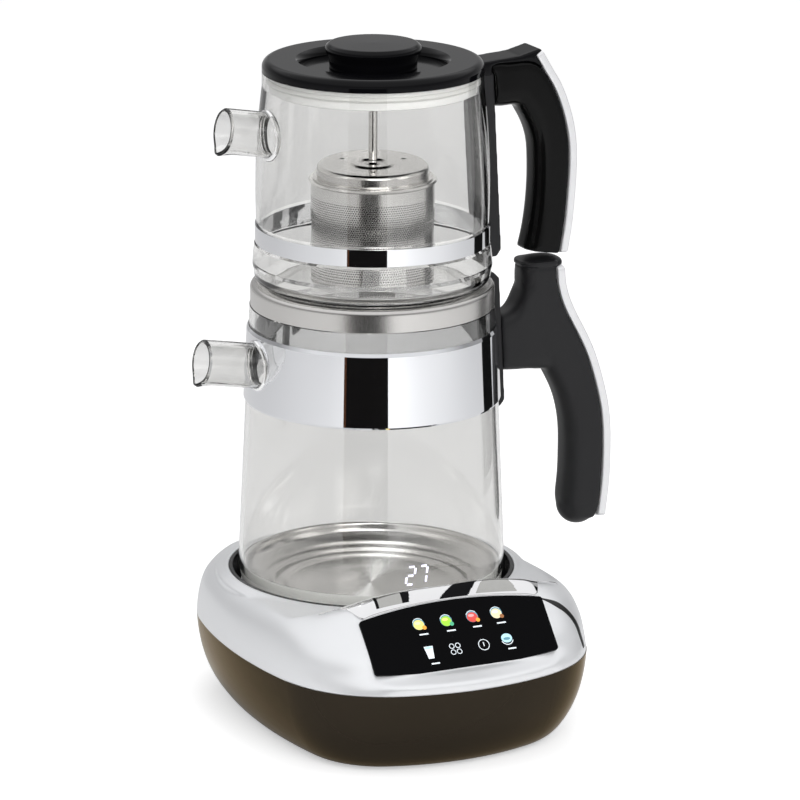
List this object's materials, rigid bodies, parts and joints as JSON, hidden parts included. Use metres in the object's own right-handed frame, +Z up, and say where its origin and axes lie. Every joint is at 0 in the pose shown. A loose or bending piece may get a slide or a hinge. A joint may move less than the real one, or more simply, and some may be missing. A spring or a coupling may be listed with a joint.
{
  "type": "tea maker",
  "caption": "Two-tier electric tea maker: glass teapot with lid and infuser standing on a glass kettle with steel floor, on a powered base with a sloping touch panel.",
  "frame": {"origin": "middle of the whole outline seen from above, on the surface that the rubber feet stand on", "axes": "+Z up; the control panel faces -Y, the spouts point to -X and the handles are at +X"},
  "size_m": [0.2641, 0.2485, 0.3993],
  "materials": {
    "cover_silver": "satin silver lacquer",
    "bowl_brown": "high gloss, very dark brown",
    "gloss_black": "high gloss",
    "matte_black": "fine texture",
    "liner_black": "smooth",
    "strip_silver": "satin lacquer",
    "chrome": "polished",
    "steel": "brushed",
    "steel_polished": "polished",
    "glass": "clear",
    "panel_black": "printed black behind glass",
    "trim_black": "matt",
    "rubber": "matt",
    "silicone": "translucent silicone",
    "lid_inner": "pale",
    "board_green": "circuit board",
    "screw_steel": "zinc plated",
    "element": "cast",
    "connector": "moulded"
  },
  "bodies": {
    "base": {"base_bowl": "bowl_brown", "rubber_feet": "rubber", "base_screws": "screw_steel", "cord_inlet": "matte_black", "top_cover": "cover_silver", "chrome_arch": "chrome", "side_trim": "trim_black", "panel_glass": "panel_black", "touch_board": "board_green", "well_liner": "liner_black", "coupler_base": "connector", "power_board": "board_green"},
    "kettle": {"kettle_glass": "glass", "kettle_skirt": "liner_black", "kettle_seal": "silicone", "kettle_floor": "steel", "heating_element": "element", "kettle_coupler": "connector", "kettle_band": "steel_polished", "kettle_collar": "steel", "kettle_handle_mount": "matte_black", "kettle_grip": "matte_black", "kettle_grip_cap": "matte_black", "kettle_grip_strip": "strip_silver", "kettle_handle_screws": "screw_steel"},
    "teapot": {"teapot_glass": "glass", "teapot_band": "steel_polished", "teapot_handle_mount": "matte_black", "teapot_grip": "matte_black", "teapot_grip_cap": "gloss_black", "teapot_grip_strip": "strip_silver", "teapot_handle_screws": "screw_steel"},
    "lid": {"lid_cap": "gloss_black", "lid_knob": "gloss_black", "lid_collar": "lid_inner", "lid_gasket": "silicone"},
    "infuser": {"infuser_basket": "steel"},
    "infuser_lid": {"infuser_cap": "steel_polished", "infuser_rod": "steel_polished"}
  },
  "joints": [
    {"name": "kettle_lift", "type": "slide", "parent": "base", "child": "kettle", "axis": [0, 0, 1], "range_m": [0, 0.08]},
    {"name": "teapot_lift", "type": "slide", "parent": "kettle", "child": "teapot", "axis": [0, 0, 1], "range_m": [0, 0.08]},
    {"name": "lid_lift", "type": "slide", "parent": "teapot", "child": "lid", "axis": [0, 0, 1], "range_m": [0, 0.16]},
    {"name": "infuser_lift", "type": "slide", "parent": "teapot", "child": "infuser", "axis": [0, 0, 1], "range_m": [0, 0.144]},
    {"name": "infuser_cap_lift", "type": "slide", "parent": "infuser", "child": "infuser_lid", "axis": [0, 0, 1], "range_m": [0, 0.014]}
  ],
  "couplings": [
    {"joint": "infuser_lift", "follows": "lid_lift", "ratio": 0.9}
  ]
}
